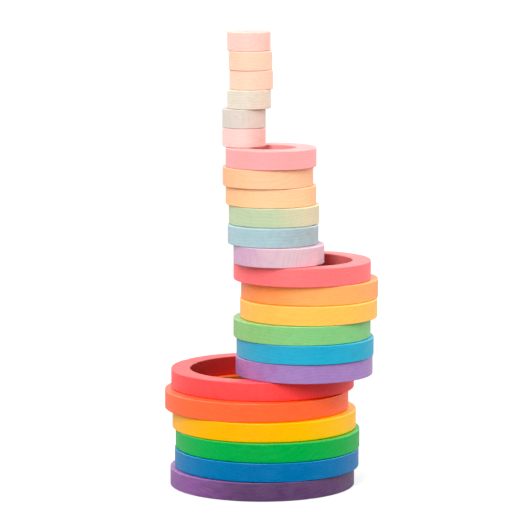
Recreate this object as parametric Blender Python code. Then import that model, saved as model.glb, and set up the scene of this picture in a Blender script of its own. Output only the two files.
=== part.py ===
"""A leaning tower of loose wooden stacking rings, in four sizes of six colours each.

Every ring is one flat wooden ring with softly rounded edges. The rings of one size are alike, and
a ring of the next size fits inside the hole of a larger one, so the whole set packs away flat.
Here they are piled up: the six large rings first, then the medium, the small and the mini ones.
Each ring lies loose on the one below it, a little out of line, as a hand leaves it.
"""

import math
from dataclasses import dataclass

import bmesh
import bpy

MM = 0.001

# Every ring is cut from the same board.
RING_HEIGHT = 12.0 * MM
EDGE_ROUND = 0.9 * MM
LYING_GAP = 0.3 * MM  # air between a ring and the one it lies on

# Widths, from the middle outwards: a hole, a wall, play, the next wall, and so on.
MINI_HOLE_RADIUS = 4.5 * MM
MINI_WALL = 9.5 * MM
MINI_IN_SMALL_PLAY = 2.2 * MM  # air all round a mini ring put inside a small one
SMALL_WALL = 13.0 * MM
SMALL_IN_MEDIUM_PLAY = 3.5 * MM
MEDIUM_WALL = 11.8 * MM
MEDIUM_IN_LARGE_PLAY = 3.1 * MM
LARGE_WALL = 12.4 * MM

# How a size of rings stands on the size below: which way it is pushed out from the middle of the
# ring it lies on, and how far its rim then reaches past that ring's rim.
MEDIUM_BEARING_DEG = -38
MEDIUM_OVERHANG = 18.7 * MM
SMALL_BEARING_DEG = 224
SMALL_OVERHANG = 5.8 * MM
MINI_BEARING_DEG = 163
MINI_OVERHANG = 3.0 * MM

# Facets round a ring, in fours, so that a ring's flats and its full width lie along X and Y.
LARGE_FACETS = 40
MEDIUM_FACETS = 36
SMALL_FACETS = 28
MINI_FACETS = 20
ROUND_STEPS = 1
SMOOTH_BELOW = math.radians(30)

STAIN_ROUGHNESS = 0.45


@dataclass(frozen=True)
class Stained:
    """One ring: its colour's name, its stain in sRGB from 0 to 255, and its shift on the ring below."""

    colour: str
    stain: tuple
    shift_mm: tuple = (0.0, 0.0)


@dataclass(frozen=True)
class Tier:
    """Six rings of one size, from the lowest to the highest, and how they stand on the tier below."""

    size: str
    hole_radius: float
    wall: float
    facets: int
    rings: tuple
    bearing_deg: float = 0.0
    overhang: float = 0.0

    @property
    def outer_radius(self):
        return self.hole_radius + self.wall

    def stand(self, below):
        """Where the middle of this tier's lowest ring is, seen from the middle of the ring it lies on."""
        reach = below.outer_radius - self.outer_radius + self.overhang
        bearing = math.radians(self.bearing_deg)
        return reach * math.cos(bearing), reach * math.sin(bearing)


MINI = Tier(
    "mini", MINI_HOLE_RADIUS, MINI_WALL, MINI_FACETS,
    (
        Stained("rose_lilac", (240, 202, 208)),
        Stained("grey_blue", (226, 214, 208), (0.0, -0.4)),
        Stained("cream_green", (238, 226, 200), (3.3, -0.3)),
        Stained("apricot_cream", (252, 221, 190), (1.4, 1.8)),
        Stained("peach", (253, 218, 190), (-0.5, -0.6)),
        Stained("blush", (252, 214, 200), (-1.1, 1.6)),
    ),
    MINI_BEARING_DEG, MINI_OVERHANG,
)
SMALL = Tier(
    "small", MINI.outer_radius + MINI_IN_SMALL_PLAY, SMALL_WALL, SMALL_FACETS,
    (
        Stained("lilac", (214, 180, 205)),
        Stained("pale_blue", (166, 200, 212), (-3.7, 3.4)),
        Stained("pale_green", (204, 218, 172), (0.6, 5.4)),
        Stained("pale_yellow", (254, 211, 150), (-2.0, 1.6)),
        Stained("apricot", (252, 198, 150), (-1.9, -1.4)),
        Stained("pink", (252, 172, 166), (2.0, -1.5)),
    ),
    SMALL_BEARING_DEG, SMALL_OVERHANG,
)
MEDIUM = Tier(
    "medium", SMALL.outer_radius + SMALL_IN_MEDIUM_PLAY, MEDIUM_WALL, MEDIUM_FACETS,
    (
        Stained("violet", (168, 124, 190)),
        Stained("sky_blue", (30, 160, 205), (0.6, -1.0)),
        Stained("green", (132, 200, 112), (-2.0, 0.8)),
        Stained("yellow", (255, 200, 80), (4.3, 2.0)),
        Stained("orange", (252, 155, 82), (0.6, 4.2)),
        Stained("coral", (250, 110, 112), (-4.8, -2.9)),
    ),
    MEDIUM_BEARING_DEG, MEDIUM_OVERHANG,
)
LARGE = Tier(
    "large", MEDIUM.outer_radius + MEDIUM_IN_LARGE_PLAY, LARGE_WALL, LARGE_FACETS,
    (
        Stained("violet", (106, 70, 116)),
        Stained("blue", (0, 108, 172), (2.9, 1.2)),
        Stained("green", (0, 160, 66), (0.5, 1.6)),
        Stained("yellow", (252, 178, 12), (-2.2, 4.3)),
        Stained("orange", (250, 100, 50), (-4.9, 2.6)),
        Stained("red", (245, 60, 62), (3.9, 8.2)),
    ),
)
TIERS = (LARGE, MEDIUM, SMALL, MINI)


def clear_scene():
    """Takes away whatever the scene holds at the start."""
    for old in list(bpy.data.objects):
        bpy.data.objects.remove(old)


def linear(channel):
    """One sRGB channel from 0 to 255 as a linear share of light."""
    share = channel / 255
    return share / 12.92 if share <= 0.04045 else ((share + 0.055) / 1.055) ** 2.4


def stain_material(name, stain):
    """Bare wood rubbed with a coloured stain."""
    material = bpy.data.materials.new(name)
    material.use_nodes = True
    shader = material.node_tree.nodes["Principled BSDF"]
    shader.inputs["Base Color"].default_value = (*map(linear, stain), 1.0)
    shader.inputs["Roughness"].default_value = STAIN_ROUGHNESS
    shader.inputs["Metallic"].default_value = 0.0
    return material


def ring_profile(tier):
    """The cut through one side of a ring, as (radius, height) points, with its corners rounded."""
    rounding = min(EDGE_ROUND, tier.wall / 3, RING_HEIGHT / 3)
    near, far = tier.hole_radius + rounding, tier.outer_radius - rounding
    low, high = rounding, RING_HEIGHT - rounding
    corners = ((far, low, -90), (far, high, 0), (near, high, 90), (near, low, 180))
    points = []
    for radius, height, start_deg in corners:
        for step in range(ROUND_STEPS + 1):
            angle = math.radians(start_deg + 90 * step / ROUND_STEPS)
            points.append((radius + rounding * math.cos(angle), height + rounding * math.sin(angle)))
    return points


def ring_mesh(tier):
    """The turned ring of a tier, standing on z = 0 about the origin."""
    shape = bmesh.new()
    corners = [shape.verts.new((radius, 0, height)) for radius, height in ring_profile(tier)]
    outline = [shape.edges.new(pair) for pair in zip(corners, corners[1:] + corners[:1])]
    bmesh.ops.spin(
        shape,
        geom=corners + outline,
        axis=(0, 0, 1),
        cent=(0, 0, 0),
        angle=math.tau,
        steps=tier.facets,
        use_merge=True,
    )
    bmesh.ops.recalc_face_normals(shape, faces=shape.faces)
    mesh = bpy.data.meshes.new(f"{tier.size}_ring")
    shape.to_mesh(mesh)
    shape.free()
    mesh.materials.append(None)
    mesh.shade_smooth()
    mesh.set_sharp_from_angle(angle=SMOOTH_BELOW)
    return mesh


def place_rings():
    """Yields (tier, ring, x, y, level) for every ring, lowest first, about the lowest ring's middle."""
    x = y = 0.0
    level = 0
    below = None
    for tier in TIERS:
        if below:
            out_x, out_y = tier.stand(below)
            x, y = x + out_x, y + out_y
        for ring in tier.rings:
            x, y = x + ring.shift_mm[0] * MM, y + ring.shift_mm[1] * MM
            yield tier, ring, x, y, level
            level += 1
        below = tier


def middle(placed):
    """The middle of the pile seen from above, halfway between its outermost rims."""
    halfway = []
    for along in (2, 3):
        lowest = min(row[along] - row[0].outer_radius for row in placed)
        highest = max(row[along] + row[0].outer_radius for row in placed)
        halfway.append((lowest + highest) / 2)
    return halfway


def build_tower():
    """Makes the twenty-four rings, each its own object, under one empty that centres the pile."""
    placed = list(place_rings())
    middle_x, middle_y = middle(placed)
    tower = bpy.data.objects.new("tower", None)
    tower.location = (-middle_x, -middle_y, 0)
    bpy.context.collection.objects.link(tower)
    meshes = {tier.size: ring_mesh(tier) for tier in TIERS}
    for tier, ring, x, y, level in placed:
        name = f"{tier.size}_{ring.colour}_ring"
        solid = bpy.data.objects.new(name, meshes[tier.size])
        solid.location = (x, y, level * (RING_HEIGHT + LYING_GAP))
        solid.parent = tower
        bpy.context.collection.objects.link(solid)
        solid.material_slots[0].link = "OBJECT"
        solid.material_slots[0].material = stain_material(f"{name}_stain", ring.stain)


clear_scene()
build_tower()
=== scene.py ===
"""A leaning tower of stained wooden stacking rings, dressed for a soft white studio.

Each ring is turned from a pale, fine-grained board, sanded, rubbed with a thin coloured stain and
waxed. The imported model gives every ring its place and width. Here each one gets its finely rounded,
slightly hand-sanded body, a few small knocks on its edges, and wood that is solid all the way
through, so that the growth rings, fibres and pores run on from the faces into the sides.
"""

import logging
import math
import random
from dataclasses import dataclass
from enum import Enum
from typing import Iterable, Optional, Sequence, Union

import bpy
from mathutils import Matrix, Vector


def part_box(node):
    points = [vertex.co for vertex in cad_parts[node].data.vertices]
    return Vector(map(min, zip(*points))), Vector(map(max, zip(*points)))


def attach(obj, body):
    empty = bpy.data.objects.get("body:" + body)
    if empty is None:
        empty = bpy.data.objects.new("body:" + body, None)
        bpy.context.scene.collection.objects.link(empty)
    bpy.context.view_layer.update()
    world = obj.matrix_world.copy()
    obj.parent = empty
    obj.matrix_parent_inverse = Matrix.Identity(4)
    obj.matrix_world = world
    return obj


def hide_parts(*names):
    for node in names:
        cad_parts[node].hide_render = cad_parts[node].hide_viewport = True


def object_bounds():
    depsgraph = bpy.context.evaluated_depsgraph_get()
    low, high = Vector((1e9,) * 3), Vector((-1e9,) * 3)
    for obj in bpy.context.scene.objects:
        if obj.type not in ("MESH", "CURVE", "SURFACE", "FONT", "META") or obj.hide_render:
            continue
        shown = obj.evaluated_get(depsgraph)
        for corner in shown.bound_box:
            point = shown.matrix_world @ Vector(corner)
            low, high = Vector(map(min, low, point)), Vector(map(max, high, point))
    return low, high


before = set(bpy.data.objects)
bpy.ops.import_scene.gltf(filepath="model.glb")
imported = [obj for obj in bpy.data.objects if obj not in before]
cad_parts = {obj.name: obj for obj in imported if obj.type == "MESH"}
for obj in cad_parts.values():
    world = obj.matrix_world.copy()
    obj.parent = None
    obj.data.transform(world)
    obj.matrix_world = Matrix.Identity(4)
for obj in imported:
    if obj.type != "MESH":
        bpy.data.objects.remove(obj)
CAD_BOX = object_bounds()

LOG = logging.getLogger("ring_tower")
MM = 0.001

Colour = tuple[float, float, float]


def srgb(red: int, green: int, blue: int) -> Colour:
    """Turns a colour as a screen shows it into shares of light.

    Args:
        red: The red channel, 0 to 255.
        green: The green channel, 0 to 255.
        blue: The blue channel, 0 to 255.

    Returns:
        The same colour in linear light.
    """
    shares = (channel / 255 for channel in (red, green, blue))
    return tuple(s / 12.92 if s <= 0.04045 else ((s + 0.055) / 1.055) ** 2.4 for s in shares)


def opaque(colour: Colour) -> tuple[float, float, float, float]:
    """A colour with the full alpha that a colour socket takes."""
    return (*colour, 1.0)


def mixed(first: Colour, second: Colour, share: float) -> Colour:
    """Mixes two colours.

    Args:
        first: The colour at share 0.
        second: The colour at share 1.
        share: How much of the second colour there is.

    Returns:
        The mixed colour.
    """
    return tuple(a + (b - a) * share for a, b in zip(first, second))


class Value:
    """A number that a node gives, for shader maths written as Python expressions."""

    def __init__(self, graph: "Graph", socket: bpy.types.NodeSocket) -> None:
        """Wraps one output socket of a graph."""
        self.graph = graph
        self.socket = socket

    def __add__(self, other: "Number") -> "Value":
        """The sum of two numbers."""
        return self.graph.maths("ADD", self, other)

    def __sub__(self, other: "Number") -> "Value":
        """This number less another."""
        return self.graph.maths("SUBTRACT", self, other)

    def __rsub__(self, other: "Number") -> "Value":
        """Another number less this one."""
        return self.graph.maths("SUBTRACT", other, self)

    def __mul__(self, other: "Number") -> "Value":
        """The product of two numbers."""
        return self.graph.maths("MULTIPLY", self, other)

    def __truediv__(self, other: "Number") -> "Value":
        """This number divided by another."""
        return self.graph.maths("DIVIDE", self, other)

    def __rtruediv__(self, other: "Number") -> "Value":
        """Another number divided by this one."""
        return self.graph.maths("DIVIDE", other, self)

    def __pow__(self, other: "Number") -> "Value":
        """This number to a power."""
        return self.graph.maths("POWER", self, other)

    def __abs__(self) -> "Value":
        """This number without its sign."""
        return self.graph.maths("ABSOLUTE", self)

    __radd__ = __add__
    __rmul__ = __mul__

    def least(self, other: "Number") -> "Value":
        """The smaller of two numbers."""
        return self.graph.maths("MINIMUM", self, other)

    def most(self, other: "Number") -> "Value":
        """The larger of two numbers."""
        return self.graph.maths("MAXIMUM", self, other)

    def step(self, low: float, high: float) -> "Value":
        """A soft step.

        Args:
            low: The value up to which the step is 0.
            high: The value from which the step is 1.

        Returns:
            A number that rises smoothly from 0 to 1 between them.
        """
        ends = {"Value": self, "From Min": low, "From Max": high}
        smooth = {"interpolation_type": "SMOOTHSTEP"}
        return self.graph.value("ShaderNodeMapRange", smooth, ends, "Result")


Number = Union[Value, float]
Link = Union[Value, bpy.types.NodeSocket, float, Sequence[float]]

# The sockets of a Mix node that is set to colours: its share, the two colours, and the result.
MIX_SHARE, MIX_UNDER, MIX_OVER, MIX_RESULT = 0, 6, 7, 2


def weighed(start: float, features: dict[str, Value], weights: dict[str, float]) -> Value:
    """Adds features up, each by its weight.

    Args:
        start: The number to start from.
        features: What varies over the surface, by name.
        weights: How much each feature counts, by the same names.

    Returns:
        The sum.
    """
    return sum((features[name] * weight for name, weight in weights.items()), start)


class Graph:
    """The node tree of one material, built a node at a time."""

    def __init__(self, tree: bpy.types.NodeTree) -> None:
        """Starts on an emptied tree."""
        self.tree = tree
        tree.nodes.clear()

    def node(
        self, kind: str, settings: Optional[dict] = None, inputs: Optional[dict] = None
    ) -> bpy.types.Node:
        """Adds any node.

        Args:
            kind: The node's type name.
            settings: Its own properties, which are set first. "stops" are a colour ramp's.
            inputs: Values or links for its sockets, by the socket's name or number.

        Returns:
            The new node.
        """
        made = self.tree.nodes.new(kind)
        for name, setting in (settings or {}).items():
            if name == "stops":
                self._set_stops(made.color_ramp, setting)
            else:
                setattr(made, name, setting)
        for key, given in (inputs or {}).items():
            socket = given.socket if isinstance(given, Value) else given
            if isinstance(socket, bpy.types.NodeSocket):
                self.tree.links.new(socket, made.inputs[key])
            else:
                made.inputs[key].default_value = socket
        return made

    @staticmethod
    def _set_stops(ramp: bpy.types.ColorRamp, stops: Sequence[tuple[float, Colour]]) -> None:
        """Gives a colour ramp its stops.

        Args:
            ramp: The ramp, which starts with two stops.
            stops: Each stop's place from 0 to 1 and its colour, in order.
        """
        while len(ramp.elements) < len(stops):
            ramp.elements.new(1.0)
        for element, (place, colour) in zip(ramp.elements, stops):
            element.position = place
            element.color = opaque(colour)

    def maths(self, operation: str, *numbers: Number) -> Value:
        """Adds a Math node and returns its number."""
        return self.value("ShaderNodeMath", {"operation": operation}, dict(enumerate(numbers)), "Value")

    def value(self, kind: str, settings: dict, inputs: dict, output: str) -> Value:
        """Adds a node and wraps one of its outputs as a number.

        Args:
            kind: The node's type name.
            settings: Its own properties.
            inputs: Values or links for its sockets.
            output: The output to read.

        Returns:
            The wrapped output.
        """
        return Value(self, self.node(kind, settings, inputs).outputs[output])

    def vector(self, operation: str, *vectors: Link) -> bpy.types.NodeSocket:
        """Adds a Vector Math node and returns its vector."""
        made = self.node("ShaderNodeVectorMath", {"operation": operation}, dict(enumerate(vectors)))
        return made.outputs["Vector"]

    def split(self, vector: bpy.types.NodeSocket) -> list[Value]:
        """Takes a vector apart into its three numbers."""
        parts = self.node("ShaderNodeSeparateXYZ", {}, {"Vector": vector}).outputs
        return [Value(self, part) for part in parts]

    def noise(self, place: bpy.types.NodeSocket, cells: Sequence[float], detail: float = 2.0) -> Value:
        """Soft cloudy noise.

        Args:
            place: Where in space.
            cells: How many cells there are in one unit of place along each axis.
            detail: How many finer layers are laid over it.

        Returns:
            A number about 0, mostly from -0.25 to 0.25.
        """
        cloud = {"Vector": self.vector("MULTIPLY", place, cells), "Scale": 1.0, "Detail": detail}
        return self.value("ShaderNodeTexNoise", {}, cloud, "Fac") - 0.5

    def tinted(self, share: Number, colour: bpy.types.NodeSocket, tint: Colour) -> bpy.types.NodeSocket:
        """Multiplies a colour by a tint.

        Args:
            share: How much of the tint is laid on, from 0 to 1.
            colour: The colour under it.
            tint: The tint.

        Returns:
            The tinted colour.
        """
        settings = {"data_type": "RGBA", "blend_type": "MULTIPLY"}
        inputs = {MIX_SHARE: share, MIX_UNDER: colour, MIX_OVER: opaque(tint)}
        return self.node("ShaderNodeMix", settings, inputs).outputs[MIX_RESULT]


class Cut(Enum):
    """How a board was sawn from the log: the heart's place off the board, across and down, in mm."""

    FLAT = (14.0, -150.0)
    RIFT = (110.0, -140.0)
    QUARTER = (170.0, -25.0)


class Size(Enum):
    """The four sizes of rings, by the first word of their names."""

    LARGE = "large"
    MEDIUM = "medium"
    SMALL = "small"
    MINI = "mini"


@dataclass(frozen=True)
class Stain:
    """A thin water stain: its colour, the colour that one side of the ring takes, and how it took.

    The side colour is partly uneven stain and partly painted light: on some rings it lightens the side
    toward the lamps. Its bearing is in degrees: 0 is to the right, 180 to the left and -90 to the front.
    """

    dry: Colour
    side_stain_and_light: Colour
    side_deg: float = 0.0
    mottling: float = 0.35
    hides: float = 0.9


@dataclass(frozen=True)
class Board:
    """The piece of wood that one ring was turned from.

    It was sawn in one way, it lies turned by some degrees, it grew by some millimetres a year, and
    the middle of the ring was at the offset in it.
    """

    cut: Cut
    grain_deg: float
    year_mm: float
    offset_mm: tuple[float, float, float]


BARE_WOOD = srgb(236, 208, 172)
HOLE_SHADE_TINT = (0.45, 0.8, 0.8)  # painted shade: what is left of a colour on the wall of the hole
FULL_HOLE_SHADE_MM = 48.0  # in a hole of this radius the painted shade is full all round

# Cells of noise in a millimetre of the board: along the fibres, across them and up.
FIBRE_CELLS = (0.045, 1.5, 1.5)
FINE_CELLS = (0.3, 6.5, 6.5)
PORE_CELLS = (0.28, 2.9, 2.9)
STREAK_CELLS = (0.03, 0.3, 0.3)
# Cells of noise in a millimetre of the ring: to the right, to the back and up.
MOTTLE_CELLS = (0.14, 0.14, 0.26)
LATHE_CELLS = (0.012, 0.012, 3.4)

# How much each feature of the wood counts in how deep the stain soaks, from 0 to 1.
SOAKS = {
    "fibre": 0.42, "fine": 0.2, "lathe": 0.1, "late": 0.09, "pores": 0.16, "end": 0.05, "wear": -0.1,
}
# And in the roughness, and in the height of the surface.
DULLS = {"fibre": 0.22, "mottle": 0.2, "pores": 0.15, "end": 0.1, "wear": 0.12}
STANDS = {"fibre": 0.5, "fine": 0.35, "late": 0.2, "lathe": 0.3, "pores": -0.7}


@dataclass(frozen=True)
class StainedWood:
    """Pale, fine-grained wood with a thin stain and a satin wax, for a ring of given sizes."""

    stain: Stain
    board: Board
    outer_mm: float
    hole_mm: float
    height_mm: float
    wear_mm: float = 1.0
    wear_spread: float = 0.9
    roughness: float = 0.3
    shiniest: float = 0.22
    dullest: float = 0.7
    relief: float = 0.45
    relief_mm: float = 0.07
    tilt_deg: float = 1.5
    wander_scale: float = 0.035
    wander_mm: tuple[float, float, float] = (3.0, 7.0, 7.0)
    streaks: float = 0.9
    deep_power: float = 1.25
    deep_shade: float = 0.78

    def stops(self) -> list[tuple[float, Colour]]:
        """The colour of the wood by how much stain it holds.

        Returns:
            Colour ramp stops, from rubbed thin to soaked deep.
        """
        dry = self.stain.dry
        bare = mixed(BARE_WOOD, dry, self.stain.hides)
        deep = tuple(tone ** self.deep_power * self.deep_shade for tone in dry)
        return [(0.0, mixed(bare, dry, 0.3)), (0.35, mixed(bare, dry, 0.9)), (0.5, dry), (1.0, deep)]

    def material(self, name: str) -> bpy.types.Material:
        """Builds the finish as a node material.

        Args:
            name: The material's name.

        Returns:
            The material.
        """
        made = bpy.data.materials.new(name)
        made.use_nodes = True
        graph = Graph(made.node_tree)
        coords = graph.node("ShaderNodeTexCoord").outputs
        place = graph.vector("MULTIPLY", coords["Object"], (1 / MM,) * 3)
        plank, fibres = self._board(graph, place)
        features = self._features(graph, place, plank, fibres)
        features["end"] = self._end_grain(graph, coords["Normal"])
        bump = {
            "Strength": self.relief,
            "Distance": self.relief_mm * MM,
            "Height": weighed(0.0, features, STANDS),
        }
        rough = weighed(self.roughness, features, DULLS)
        look = {
            "Base Color": self._colour(graph, place, plank, features),
            "Roughness": rough.least(self.dullest).most(self.shiniest),
            "Specular IOR Level": 0.5,
            "Normal": graph.node("ShaderNodeBump", {}, bump).outputs["Normal"],
        }
        shader = graph.node("ShaderNodeBsdfPrincipled", {}, look)
        graph.node("ShaderNodeOutputMaterial", {}, {"Surface": shader.outputs["BSDF"]})
        return made

    def _board(
        self, graph: Graph, place: bpy.types.NodeSocket
    ) -> tuple[bpy.types.NodeSocket, bpy.types.NodeSocket]:
        """Finds where a point of the ring was in its board.

        Args:
            graph: The material's graph.
            place: Where on the ring, in millimetres from the middle of its underside.

        Returns:
            Where in the board, in millimetres with the fibres along X, and the same place for
            fibres that wander a little from side to side.
        """
        turn = (0.0, math.radians(self.tilt_deg), math.radians(self.board.grain_deg))
        laid = {"Vector": place, "Rotation": turn, "Location": self.board.offset_mm}
        plank = graph.node("ShaderNodeMapping", {}, laid).outputs["Vector"]
        slow = {"Vector": plank, "Scale": self.wander_scale, "Detail": 1.0}
        wander = graph.node("ShaderNodeTexNoise", {}, slow).outputs["Color"]
        bend = graph.vector("MULTIPLY", graph.vector("SUBTRACT", wander, (0.5,) * 3), self.wander_mm)
        return plank, graph.vector("ADD", plank, bend)

    def _features(
        self,
        graph: Graph,
        place: bpy.types.NodeSocket,
        plank: bpy.types.NodeSocket,
        fibres: bpy.types.NodeSocket,
    ) -> dict[str, Value]:
        """Lays out what varies over the wood.

        Args:
            graph: The material's graph.
            place: Where on the ring, in millimetres from the middle of its underside.
            plank: Where in the board, in millimetres, with its fibres along X.
            fibres: The same place for fibres that wander.

        Returns:
            The features by name, each a number about 0 or from 0 to 1.
        """
        mottle = graph.noise(place, MOTTLE_CELLS, 4.0)
        return {
            "mottle": mottle,
            "blotch": graph.noise(plank, STREAK_CELLS),
            "fibre": graph.noise(fibres, FIBRE_CELLS, 3.0),
            "fine": graph.noise(fibres, FINE_CELLS),
            "lathe": graph.noise(place, LATHE_CELLS),
            "late": self._years(graph, fibres),
            "pores": graph.noise(fibres, PORE_CELLS, 1.0).step(0.14, 0.24),
            "wear": self._wear(graph, place, mottle),
        }

    def _colour(
        self,
        graph: Graph,
        place: bpy.types.NodeSocket,
        plank: bpy.types.NodeSocket,
        features: dict[str, Value],
    ) -> bpy.types.NodeSocket:
        """Stains the wood, paints shade on the wall of the hole, and tints one side of each ring, which
        on some rings is painted light.

        Args:
            graph: The material's graph.
            place: Where on the ring, in millimetres from the middle of its underside.
            plank: Where in the board, in millimetres, with its fibres along X.
            features: What varies over the wood.

        Returns:
            The stained colour, with painted shade in the hole and painted light on one side of some
            rings.
        """
        uneven = 0.5 * self.stain.mottling
        soaked = weighed(0.5, features, {"mottle": uneven, "blotch": uneven, **SOAKS})
        even = graph.node("ShaderNodeValToRGB", {"stops": self.stops()}, {"Fac": soaked})
        lean = tuple(leant / tone for leant, tone in zip(self.stain.side_stain_and_light, self.stain.dry))
        # One side of each ring takes its side colour: partly uneven stain, partly painted light on the
        # side toward the lamps.
        side_stained_and_lit = graph.tinted(self._side_stain_and_light_share(graph, place, plank), even.outputs["Color"], lean)
        # Painted shade: the wall of the hole is darkened where shade falls in it.
        return graph.tinted(self._painted_hole_shade(graph, place), side_stained_and_lit, HOLE_SHADE_TINT)

    def _side_stain_and_light_share(self, graph: Graph, place: bpy.types.NodeSocket, plank: bpy.types.NodeSocket) -> Value:
        """How much one side of the ring takes its side colour, partly uneven stain and partly painted
        side light: most about one bearing, with streaky borders along the grain.

        Args:
            graph: The material's graph.
            place: Where on the ring, in millimetres from its middle.
            plank: Where in the board, in millimetres, with its fibres along X.

        Returns:
            0 where the stain keeps its own colour, 1 where the side colour is laid on in full.
        """
        x, y, _ = graph.split(place)
        bearing = math.radians(self.stain.side_deg)
        facing = (x * math.cos(bearing) + y * math.sin(bearing)) / (x * x + y * y).most(1.0) ** 0.5
        return (facing + graph.noise(plank, STREAK_CELLS, 3.0) * self.streaks).step(0.1, 1.05)

    def _years(self, graph: Graph, plank: bpy.types.NodeSocket) -> Value:
        """The dark latewood lines of the growth rings.

        Args:
            graph: The material's graph.
            plank: Where in the board, in millimetres, with its fibres along X.

        Returns:
            1 in the last growth of a year, falling to 0 in its first.
        """
        _, across, up = graph.split(plank)
        heart_across, heart_up = self.board.cut.value
        from_heart = ((across - heart_across) ** 2 + (up - heart_up) ** 2) ** 0.5
        season = graph.maths("FRACT", from_heart / self.board.year_mm)
        return season.step(0.25, 0.93) * (1 - season.step(0.93, 1.0))

    def _end_grain(self, graph: Graph, normal: bpy.types.NodeSocket) -> Value:
        """Where the ends of the fibres show on the sides.

        Args:
            graph: The material's graph.
            normal: Which way the surface faces.

        Returns:
            1 where the surface cuts straight across the fibres, 0 along them.
        """
        facing_x, facing_y, _ = graph.split(normal)
        turn = math.radians(self.board.grain_deg)
        along = facing_x * math.cos(turn) - facing_y * math.sin(turn)
        return abs(along).step(0.55, 1.0)

    @staticmethod
    def _round(graph: Graph, place: bpy.types.NodeSocket) -> tuple[Value, Value]:
        """The distance from the ring's axis and the height, both in millimetres."""
        x, y, z = graph.split(place)
        return (x * x + y * y) ** 0.5, z

    def _painted_hole_shade(self, graph: Graph, place: bpy.types.NodeSocket) -> Value:
        """How much painted shade darkens the wall of the hole: the more, the wider the hole is."""
        radius, _ = self._round(graph, place)
        # Painted shade on the hole wall: full in the widest holes, less in narrower ones.
        hole_shade_share = min(1.0, (self.hole_mm / FULL_HOLE_SHADE_MM) ** 2)
        return (1 - (radius - self.hole_mm).step(0.1, 0.5)) * hole_shade_share

    def _wear(self, graph: Graph, place: bpy.types.NodeSocket, mottle: Value) -> Value:
        """Where hands and other rings have rubbed the stain from the edges.

        Args:
            graph: The material's graph.
            place: Where on the ring, in millimetres from the middle of its underside.
            mottle: Noise that breaks the rubbing up.

        Returns:
            1 on a bare edge, 0 where the stain is whole.
        """
        radius, z = self._round(graph, place)
        side = abs(self.outer_mm - radius).least(abs(radius - self.hole_mm))
        face = z.least(self.height_mm - z).most(0.0)
        corner = (side * side + face * face) ** 0.5
        reach = self.wear_mm * (1 + mottle * self.wear_spread)
        return 1 - (corner / reach).step(0.25, 1.0)


@dataclass(frozen=True)
class Knock:
    """A small dent in an edge of a ring: where it is, how deep and how wide."""

    radius: float
    height: float
    angle: float
    depth: float
    width: float

    def push(self, radius: float, height: float, angle: float) -> float:
        """How far the dent pushes a point of the surface in.

        Args:
            radius: The point's distance from the axis.
            height: Its height.
            angle: Its place round the ring.

        Returns:
            The push.
        """
        round_way = (angle - self.angle + math.pi) % math.tau - math.pi
        gone = (round_way * radius) ** 2 + (radius - self.radius) ** 2 + (height - self.height) ** 2
        return self.depth * math.exp(-gone / self.width ** 2)


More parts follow.
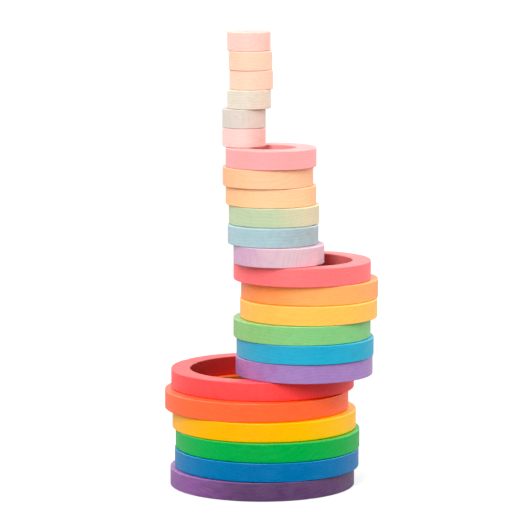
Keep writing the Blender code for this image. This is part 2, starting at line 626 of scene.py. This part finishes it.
@dataclass
class TurnedRing:
    """One wooden ring: turned, its corners eased by hand, with a few small knocks."""

    node: str
    level: int
    facet: float = 1.5 * MM
    least_facets: int = 96
    corner: float = 0.58 * MM
    corner_spread: float = 0.22
    corner_lobes: tuple[int, ...] = (1, 3, 7, 11)
    arc_steps: int = 5
    wall_steps: int = 5
    guard: float = 0.12 * MM
    untrue: float = 0.05 * MM
    untrue_lobes: tuple[int, ...] = (2, 3, 5)
    closes_gap: float = 0.24 * MM
    knocks: int = 7
    knock_depth_mm: tuple[float, float] = (0.08, 0.3)
    knock_width_mm: tuple[float, float] = (0.8, 2.2)
    least_push: float = 0.002 * MM

    def __post_init__(self) -> None:
        """Takes the ring's place and sizes from its CAD node."""
        low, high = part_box(self.node)
        self.middle = Vector(((low.x + high.x) / 2, (low.y + high.y) / 2, low.z))
        self.outer = (high.x - low.x) / 2
        self.height = high.z - low.z
        self.hole = min(
            math.hypot(v.co.x - self.middle.x, v.co.y - self.middle.y)
            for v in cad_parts[self.node].data.vertices
        )
        self.chance = random.Random(f"ring {self.level}")

    def facets(self) -> int:
        """The number of facets round the ring, in fours so that it has its full width."""
        return 4 * math.ceil(max(self.least_facets, math.tau * self.outer / self.facet) / 4)

    def waves(self, lobes: Iterable[int]) -> list[tuple[int, float]]:
        """Draws the phases of a few waves that run round the ring."""
        return [(lobe, self.chance.uniform(0, math.tau)) for lobe in lobes]

    @staticmethod
    def ripple(waves: Sequence[tuple[int, float]], angle: float) -> float:
        """The mean of some waves at an angle, from -1 to 1."""
        return sum(math.sin(lobe * angle + phase) for lobe, phase in waves) / len(waves)

    def stretch(self, start: float, end: float, steps: int) -> list[float]:
        """Places along a flat between two corners, with a guard close to each end.

        Args:
            start: Where the first corner ends.
            end: Where the next corner starts.
            steps: How many even steps there are between the guards.

        Returns:
            The places, without the two ends themselves.
        """
        way = math.copysign(self.guard, end - start)
        first, last = start + way, end - way
        return [first + (last - first) * step / steps for step in range(steps + 1)]

    def section(self, corners: Sequence[float], low: float) -> list[tuple[float, float]]:
        """The cut through one side of the ring.

        Args:
            corners: The roundings of the outer lower, outer upper, inner upper and inner lower corner.
            low: The height of the underside.

        Returns:
            Points (radius, height), anticlockwise from the outer lower corner.
        """
        points = []
        signs = ((1, -1), (1, 1), (-1, 1), (-1, -1))
        edges = []
        for out, up in signs:
            edges.append((self.outer if out > 0 else self.hole, self.height if up > 0 else low))
        for index, ((out, up), (radius, height), size) in enumerate(zip(signs, edges, corners)):
            centre = (radius - out * size, height - up * size)
            start = math.radians(90 * index - 90)
            for step in range(self.arc_steps + 1):
                angle = start + math.pi / 2 * step / self.arc_steps
                points.append((centre[0] + size * math.cos(angle), centre[1] + size * math.sin(angle)))
            after = (index + 1) % 4
            (next_out, next_up), next_size = signs[after], corners[after]
            if index % 2 == 0:
                ends = points[-1][1], edges[after][1] - next_up * next_size
                points += [(radius, place) for place in self.stretch(*ends, self.wall_steps)]
            else:
                ends = points[-1][0], edges[after][0] - next_out * next_size
                points += [(place, height) for place in self.stretch(*ends, self.wall_steps)]
        return points

    def draw_knocks(self) -> list[Knock]:
        """Draws the small dents on the edges, most of them on the outer rim and the upper edges."""
        return [
            Knock(
                radius=self.chance.choice((self.outer, self.outer, self.hole)),
                height=self.chance.choice((0.0, self.height, self.height)),
                angle=self.chance.uniform(0, math.tau),
                depth=self.chance.uniform(*self.knock_depth_mm) * MM,
                width=self.chance.uniform(*self.knock_width_mm) * MM,
            )
            for _ in range(self.knocks)
        ]

    def mesh(self, low: float) -> bpy.types.Mesh:
        """Turns the ring.

        Args:
            low: The height of the underside, at or just below 0.

        Returns:
            A closed mesh about the middle of the ring's underside.
        """
        facets = self.facets()
        corner_waves = [self.waves(self.corner_lobes) for _ in range(4)]
        untrue_waves = self.waves(self.untrue_lobes)
        knocks = self.draw_knocks()
        points = []
        for facet in range(facets):
            angle = math.tau * facet / facets
            sizes = [self.corner * (1 + self.corner_spread * self.ripple(w, angle)) for w in corner_waves]
            inward = self.untrue * (1 + self.ripple(untrue_waves, angle)) / 2
            for radius, height in self.section(sizes, low):
                radius, height = self.knocked(radius, height, angle, knocks)
                bulge = inward * math.sin(math.pi * min(max(height / self.height, 0.0), 1.0))
                radius -= math.copysign(bulge, radius - (self.outer + self.hole) / 2)
                points.append((radius * math.cos(angle), radius * math.sin(angle), height))
        made = bpy.data.meshes.new(self.node)
        made.from_pydata(points, [], self.skin(facets, len(points) // facets))
        made.shade_smooth()
        return made

    @staticmethod
    def skin(facets: int, across: int) -> list[tuple[int, int, int, int]]:
        """Joins the cuts through the ring, each to the next.

        Args:
            facets: How many cuts there are round the ring.
            across: How many points there are in each.

        Returns:
            The faces, as the numbers of their points.
        """
        faces = []
        for facet in range(facets):
            here, there = facet * across, (facet + 1) % facets * across
            for row in range(across):
                above = (row + 1) % across
                faces.append((here + row, there + row, there + above, here + above))
        return faces

    def knocked(
        self, radius: float, height: float, angle: float, knocks: Sequence[Knock]
    ) -> tuple[float, float]:
        """Pushes a point of the surface in where a knock has dented it.

        Args:
            radius: The point's distance from the axis.
            height: Its height.
            angle: Its place round the ring.
            knocks: The dents.

        Returns:
            Its radius and height after the knocks.
        """
        inner = (self.outer + self.hole) / 2, self.height / 2
        for knock in knocks:
            push = knock.push(radius, height, angle)
            if push > self.least_push:
                way = Vector((inner[0] - radius, inner[1] - height)).normalized()
                radius, height = radius + way.x * push, height + way.y * push
        return radius, height

    def build(self) -> bpy.types.Object:
        """Makes the ring's object, in its place, riding on its body."""
        low = -self.closes_gap if self.level else 0.0
        piece = bpy.data.objects.new(f"turned_{self.node}", self.mesh(low))
        piece.location = self.middle
        bpy.context.scene.collection.objects.link(piece)
        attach(piece, self.node)
        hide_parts(self.node)
        return piece


@dataclass
class RingPile:
    """The rings of one size, from the lowest to the highest, and the stains they were given."""

    size: Size
    first_level: int
    stains: dict[str, Stain]
    boards: Sequence[Board]

    def build(self) -> list[bpy.types.Object]:
        """Turns, places and dresses every ring of the pile, and returns them from the lowest up."""
        pieces = []
        for level, (colour, stain) in enumerate(self.stains.items(), self.first_level):
            ring = TurnedRing(f"{self.size.value}_{colour}_ring", level)
            piece = ring.build()
            board = self.boards[level % len(self.boards)]
            finish = StainedWood(stain, board, ring.outer / MM, ring.hole / MM, ring.height / MM)
            slot = f"{self.size.value}_{colour}_stain"
            piece.data.materials.append(finish.material(slot))
            pieces.append(piece)
        return pieces


BOARDS = (
    Board(Cut.FLAT, 8, 2.3, (13, 2, 4)),
    Board(Cut.FLAT, -14, 2.0, (-41, 11, -3)),
    Board(Cut.RIFT, 5, 2.7, (70, -9, 6)),
    Board(Cut.FLAT, 22, 1.7, (25, 30, 0)),
    Board(Cut.FLAT, -6, 2.5, (-18, -4, 2)),
    Board(Cut.QUARTER, 17, 1.9, (52, 17, -6)),
    Board(Cut.FLAT, 74, 2.1, (-66, 8, 3)),
)

# The second colour and bearing tint one side of each ring: partly uneven stain, partly painted light
# where that side is lighter toward the lamps.
LARGE_STAINS = {
    "violet": Stain(srgb(95, 67, 105), srgb(146, 95, 160), 180, 0.8, 0.8),
    "blue": Stain(srgb(1, 109, 165), srgb(1, 121, 174), 180, 0.45),
    "green": Stain(srgb(1, 164, 66), srgb(1, 170, 74), 180),
    "yellow": Stain(srgb(247, 173, 1), srgb(247, 186, 1), -10, 0.3),
    "orange": Stain(srgb(245, 99, 51), srgb(246, 105, 60), 190),
    "red": Stain(srgb(245, 68, 68), srgb(246, 78, 78), -130, 0.3),
}
MEDIUM_STAINS = {
    "violet": Stain(srgb(159, 124, 182), srgb(159, 109, 165), 180, 0.5),
    "sky_blue": Stain(srgb(35, 162, 194), srgb(56, 156, 188), 180, 0.45),
    "green": Stain(srgb(127, 191, 121), srgb(136, 187, 115), 190, 0.4),
    "yellow": Stain(srgb(245, 186, 84), srgb(245, 178, 82), 190, 0.3),
    "orange": Stain(srgb(245, 140, 76), srgb(247, 169, 98), -60, 0.3),
    "coral": Stain(srgb(245, 114, 115), srgb(246, 108, 111), 180, 0.3),
}
SMALL_STAINS = {
    "lilac": Stain(srgb(198, 157, 183), srgb(211, 179, 187), -62, 0.4),
    "pale_blue": Stain(srgb(161, 187, 193), srgb(158, 173, 176), -15, 0.45),
    "pale_green": Stain(srgb(181, 194, 158), srgb(214, 199, 165), -15, 0.4),
    "pale_yellow": Stain(srgb(245, 180, 126), srgb(246, 193, 148), -85, 0.3),
    "apricot": Stain(srgb(245, 172, 126), srgb(246, 188, 148), -85, 0.3),
    "pink": Stain(srgb(245, 159, 158), srgb(246, 163, 161), 0, 0.3),
}
MINI_STAINS = {
    "rose_lilac": Stain(srgb(246, 195, 188), srgb(228, 177, 167), -15, 0.3),
    "grey_blue": Stain(srgb(205, 194, 184), srgb(211, 188, 175), -15, 0.3),
    "cream_green": Stain(srgb(214, 203, 186), srgb(217, 196, 177), -15, 0.3),
    "apricot_cream": Stain(srgb(245, 196, 173), srgb(245, 191, 166), 0, 0.25),
    "peach": Stain(srgb(245, 190, 164), srgb(246, 195, 170), -90, 0.25),
    "blush": Stain(srgb(245, 191, 179), srgb(243, 182, 169), 0, 0.25),
}


@dataclass
class Studio:
    """A white table top with soft light, and the camera that looks at the tower.

    The strengths of the walls, the backdrop, the room and the fills are those of a white world. Each
    edge is where the light of one passes over into the next, as a share of the way looked at.
    """

    floor_radius: float = 6.0
    floor_facets: int = 96
    floor_depth: float = 0.1 * MM
    table_tone: float = 0.32
    table_glare: float = 0.6
    table_roughness: float = 0.85
    table_cells: tuple[float, float, float] = (3.0, 3.0, 3.0)
    lens: float = 214.0
    camera_place: tuple[float, float, float] = (-3.3 * MM, -2037.7 * MM, 423.0 * MM)
    camera_dip_deg: float = 7.86
    farthest: float = 100.0
    key_way: tuple[float, float, float] = (-0.35, -1.35, 1.0)
    key_distance: float = 1.7
    key_width: float = 0.34
    key_length: float = 1.1
    key_watts: float = 27.0
    walls: float = 2.3
    wall_edge: tuple[float, float] = (0.1, 0.5)
    backdrop: float = 0.85
    room: float = 0.12
    room_edge: tuple[float, float] = (0.2, 0.7)
    fills: tuple[tuple[tuple[float, float, float], float], ...] = (
        ((0.751, 0.0, 0.661), 2.6),
        ((-0.747, 0.1, 0.657), 1.6),
    )
    fill_edge: tuple[float, float] = (0.6, 1.0)
    white: float = 1.05
    black_level: float = 0.024

    @staticmethod
    def seen(graph: Graph) -> Value:
        """1 where the camera itself looks, 0 for light on its way between things."""
        return Value(graph, graph.node("ShaderNodeLightPath").outputs["Is Camera Ray"])

    def floor(self) -> None:
        """Lays a wide pale table top just under the lowest ring."""
        points = []
        for step in range(self.floor_facets):
            angle = math.tau * step / self.floor_facets
            points.append((self.floor_radius * math.cos(angle), self.floor_radius * math.sin(angle), 0.0))
        mesh = bpy.data.meshes.new("table_top")
        mesh.from_pydata(points, [], [tuple(range(self.floor_facets))])
        top = bpy.data.objects.new("table_top", mesh)
        top.location.z = CAD_BOX[0].z - self.floor_depth
        bpy.context.scene.collection.objects.link(top)
        mesh.materials.append(self.table_paint())

    def table_paint(self) -> bpy.types.Material:
        """Mixes the table top's pale matt paint, which shows white but lights the rings little."""
        paint = bpy.data.materials.new("white_table_top")
        paint.use_nodes = True
        graph = Graph(paint.node_tree)
        place = graph.node("ShaderNodeTexCoord").outputs["Object"]
        look = {
            "Base Color": opaque((self.table_tone,) * 3),
            "Roughness": self.table_roughness + graph.noise(place, self.table_cells) * 0.1,
            "Specular IOR Level": 0.1,
            "Emission Color": self.seen(graph) * self.table_glare,
            "Emission Strength": 1.0,
        }
        shader = graph.node("ShaderNodeBsdfPrincipled", {}, look)
        graph.node("ShaderNodeOutputMaterial", {}, {"Surface": shader.outputs["BSDF"]})
        return paint

    def world(self) -> None:
        """Puts up white walls beyond the sides, a backdrop, a dim room and two soft fills."""
        world = bpy.data.worlds.new("white_cove")
        bpy.context.scene.world = world
        world.use_nodes = True
        graph = Graph(world.node_tree)
        way = graph.node("ShaderNodeTexCoord").outputs["Generated"]
        across, depth, _ = graph.split(way)
        cove = self.backdrop + abs(across).step(*self.wall_edge) * (self.walls - self.backdrop)
        light = self.room + depth.step(*self.room_edge) * (cove - self.room)
        for fill_way, fill in self.fills:
            ends = {0: way, 1: fill_way}
            toward = graph.value("ShaderNodeVectorMath", {"operation": "DOT_PRODUCT"}, ends, "Value")
            light = light + toward.step(*self.fill_edge) * fill
        glow = {"Color": opaque((1.0,) * 3), "Strength": light.most(self.seen(graph) * self.white)}
        shade = graph.node("ShaderNodeBackground", {}, glow)
        graph.node("ShaderNodeOutputWorld", {}, {"Surface": shade.outputs["Background"]})

    def key(self) -> None:
        """Hangs the one lamp: a tall strip box in front, a little to the left and well up."""
        lamp = bpy.data.lights.new("strip_box", "AREA")
        lamp.shape = "RECTANGLE"
        lamp.size = self.key_width
        lamp.size_y = self.key_length
        lamp.energy = self.key_watts
        hung = bpy.data.objects.new("strip_box", lamp)
        way = Vector(self.key_way).normalized()
        hung.location = (CAD_BOX[0] + CAD_BOX[1]) / 2 + way * self.key_distance
        hung.rotation_mode = "QUATERNION"
        hung.rotation_quaternion = way.to_track_quat("Z", "Y")
        bpy.context.scene.collection.objects.link(hung)

    def camera(self) -> None:
        """Sets up the camera, a little above the top of the tower and looking slightly down."""
        optics = bpy.data.cameras.new("camera")
        optics.lens = self.lens
        optics.clip_end = self.farthest
        stand = bpy.data.objects.new("camera", optics)
        stand.location = self.camera_place
        stand.rotation_euler = (math.radians(90 - self.camera_dip_deg), 0.0, 0.0)
        bpy.context.scene.collection.objects.link(stand)
        bpy.context.scene.camera = stand

    def film(self) -> None:
        """Sets the camera's response: plain, with the faintest light let down to black."""
        view = bpy.context.scene.view_settings
        view.view_transform = "Standard"
        view.use_curve_mapping = True
        view.curve_mapping.black_level = (self.black_level,) * 3
        view.curve_mapping.update()

    def build(self) -> None:
        """Sets the whole studio up."""
        self.camera()
        self.floor()
        self.world()
        self.key()
        self.film()
        LOG.info("studio ready")


def main() -> None:
    """Builds the studio, then the rings from the lowest to the highest."""
    logging.basicConfig(level=logging.INFO, format="%(name)s: %(message)s")
    Studio().build()
    level = 0
    for size, stains in zip(Size, (LARGE_STAINS, MEDIUM_STAINS, SMALL_STAINS, MINI_STAINS)):
        for piece in RingPile(size, level, stains, BOARDS).build():
            LOG.info("%s: %d faces", piece.name, len(piece.data.polygons))
        level += len(stains)


if __name__ == "__main__":
    main()
